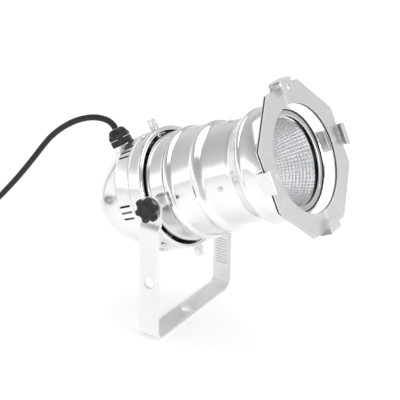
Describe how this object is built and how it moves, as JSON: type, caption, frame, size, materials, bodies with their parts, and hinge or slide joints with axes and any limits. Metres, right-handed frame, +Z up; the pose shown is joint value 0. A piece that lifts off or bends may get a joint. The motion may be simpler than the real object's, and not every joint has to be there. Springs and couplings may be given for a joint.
{
  "type": "par can light",
  "caption": "Small polished aluminium par spot: spun barrel on a flat yoke, domed vented rear cap, octagonal colour frame in sheet clips, star knobs and a supply cord with plug.",
  "frame": {"origin": "centre of the bolt hole in the yoke's bar, on the bar's underside", "axes": "+Z up from the bar to the pivots, X along the pivot axis with the leg that has the side hole at -X, beam towards -Y and nose-up by 24.8 degrees at rest"},
  "size_m": [0.262, 0.6141, 0.2976],
  "materials": {
    "polished_aluminium": "polished",
    "satin_aluminium": "satin",
    "zinc_steel": "zinc plated",
    "black_plastic": "fine matt",
    "black_rubber": "matt",
    "brass": "plain",
    "steatite": "glazed",
    "lamp_mirror": "aluminised facets",
    "lamp_glass": "clear",
    "label_film": "blank printed film",
    "wire_brown": "plain",
    "wire_blue": "plain",
    "wire_green": "plain"
  },
  "bodies": {
    "yoke": {"yoke": "satin_aluminium", "rating_label": "label_film", "cord": "black_rubber", "cord_coil": "black_rubber", "cord_tail": "black_rubber", "plug_body": "black_rubber", "plug_pin_a": "brass", "plug_pin_b": "brass"},
    "barrel": {"barrel": "polished_aluminium", "barrel_rivet_0": "zinc_steel", "barrel_rivet_90": "zinc_steel", "barrel_rivet_180": "zinc_steel", "barrel_rivet_270": "zinc_steel", "lamp_guide_ring": "satin_aluminium", "lamp_retaining_ring": "satin_aluminium", "frame_clip_near": "satin_aluminium", "frame_clip_far": "satin_aluminium", "frame_clip_bottom": "satin_aluminium", "latch_base": "satin_aluminium", "gel_frame_front": "satin_aluminium", "gel_frame_back": "satin_aluminium", "pivot_stud_near": "zinc_steel", "pivot_stud_far": "zinc_steel", "pivot_spacer_near": "satin_aluminium", "pivot_spacer_far": "satin_aluminium"},
    "rear_cap": {"rear_cap": "polished_aluminium", "cap_standoff_top": "satin_aluminium", "cap_standoff_bottom": "satin_aluminium", "cap_nut_top": "zinc_steel", "cap_nut_bottom": "zinc_steel", "lampholder_body": "steatite", "lampholder_shell": "brass", "lampholder_bracket": "zinc_steel", "bracket_screw_15": "zinc_steel", "bracket_screw_135": "zinc_steel", "bracket_screw_255": "zinc_steel", "terminal_block": "steatite", "wire_live": "wire_brown", "wire_neutral": "wire_blue", "wire_earth": "wire_green", "gland_seat": "satin_aluminium", "gland_body": "black_plastic", "gland_nut": "black_plastic", "gland_locknut": "black_plastic", "cable_in_gland": "black_rubber"},
    "lamp": {"lamp_reflector": "lamp_mirror", "lamp_lens": "lamp_glass", "lamp_capsule": "lamp_glass", "lamp_base": "brass", "lamp_insulator": "black_plastic"},
    "latch_flap": {"latch_flap": "satin_aluminium", "latch_rivet": "zinc_steel"},
    "knob_washer_near": {"knob_washer_near": "zinc_steel"},
    "star_knob_near": {"star_knob_near": "black_plastic"},
    "knob_washer_far": {"knob_washer_far": "zinc_steel"},
    "star_knob_far": {"star_knob_far": "black_plastic"},
    "thumb_washer_top": {"thumb_washer_top": "zinc_steel"},
    "thumb_screw_top": {"thumb_screw_top": "zinc_steel"},
    "thumb_washer_bottom": {"thumb_washer_bottom": "zinc_steel"},
    "thumb_screw_bottom": {"thumb_screw_bottom": "zinc_steel"}
  },
  "joints": [
    {"name": "head_tilt", "type": "hinge", "parent": "yoke", "child": "barrel", "pos_m": [0, 0, 0.155], "axis": [-1, 0, 0], "range_deg": [-78, 65], "deforming": ["cord"]},
    {"name": "cap_slide", "type": "slide", "parent": "barrel", "child": "rear_cap", "axis": [0, 0.9078, -0.4195], "range_m": [0, 0.0075]},
    {"name": "lamp_turn", "type": "hinge", "parent": "rear_cap", "child": "lamp", "pos_m": [0, 0, 0.155], "axis": [0, -0.9078, 0.4195], "range_deg": [0, 180]},
    {"name": "latch_swing", "type": "hinge", "parent": "barrel", "child": "latch_flap", "pos_m": [0, -0.09918, 0.28962], "axis": [-1, 0, 0], "range_deg": [0, 100]},
    {"name": "knob_travel_near", "type": "slide", "parent": "barrel", "child": "knob_washer_near", "axis": [-1, 0, 0], "range_m": [0, 0.002]},
    {"name": "knob_turn_near", "type": "hinge", "parent": "knob_washer_near", "child": "star_knob_near", "pos_m": [-0.079, 0, 0.155], "axis": [-1, 0, 0], "range_deg": [0, 720]},
    {"name": "knob_travel_far", "type": "slide", "parent": "barrel", "child": "knob_washer_far", "axis": [1, 0, 0], "range_m": [0, 0.002]},
    {"name": "knob_turn_far", "type": "hinge", "parent": "knob_washer_far", "child": "star_knob_far", "pos_m": [0.079, 0, 0.155], "axis": [1, 0, 0], "range_deg": [0, 720]},
    {"name": "thumb_travel_top", "type": "slide", "parent": "rear_cap", "child": "thumb_washer_top", "axis": [0, 0.4195, 0.9078], "range_m": [0, 0.0066]},
    {"name": "thumb_turn_top", "type": "hinge", "parent": "thumb_washer_top", "child": "thumb_screw_top", "pos_m": [0, 0.01589, 0.14766], "axis": [0, 0.4195, 0.9078], "range_deg": [0, 2970]},
    {"name": "thumb_travel_bottom", "type": "slide", "parent": "rear_cap", "child": "thumb_washer_bottom", "axis": [0, -0.4195, -0.9078], "range_m": [0, 0.0066]},
    {"name": "thumb_turn_bottom", "type": "hinge", "parent": "thumb_washer_bottom", "child": "thumb_screw_bottom", "pos_m": [0, 0.01589, 0.14766], "axis": [0, -0.4195, -0.9078], "range_deg": [0, 2970]}
  ],
  "couplings": [
    {"joint": "knob_travel_near", "follows": "knob_turn_near", "m_per_rad": 0.00015915},
    {"joint": "knob_travel_far", "follows": "knob_turn_far", "m_per_rad": 0.00015915},
    {"joint": "thumb_travel_top", "follows": "thumb_turn_top", "m_per_rad": 0.00012732},
    {"joint": "thumb_travel_bottom", "follows": "thumb_turn_bottom", "m_per_rad": 0.00012732}
  ]
}
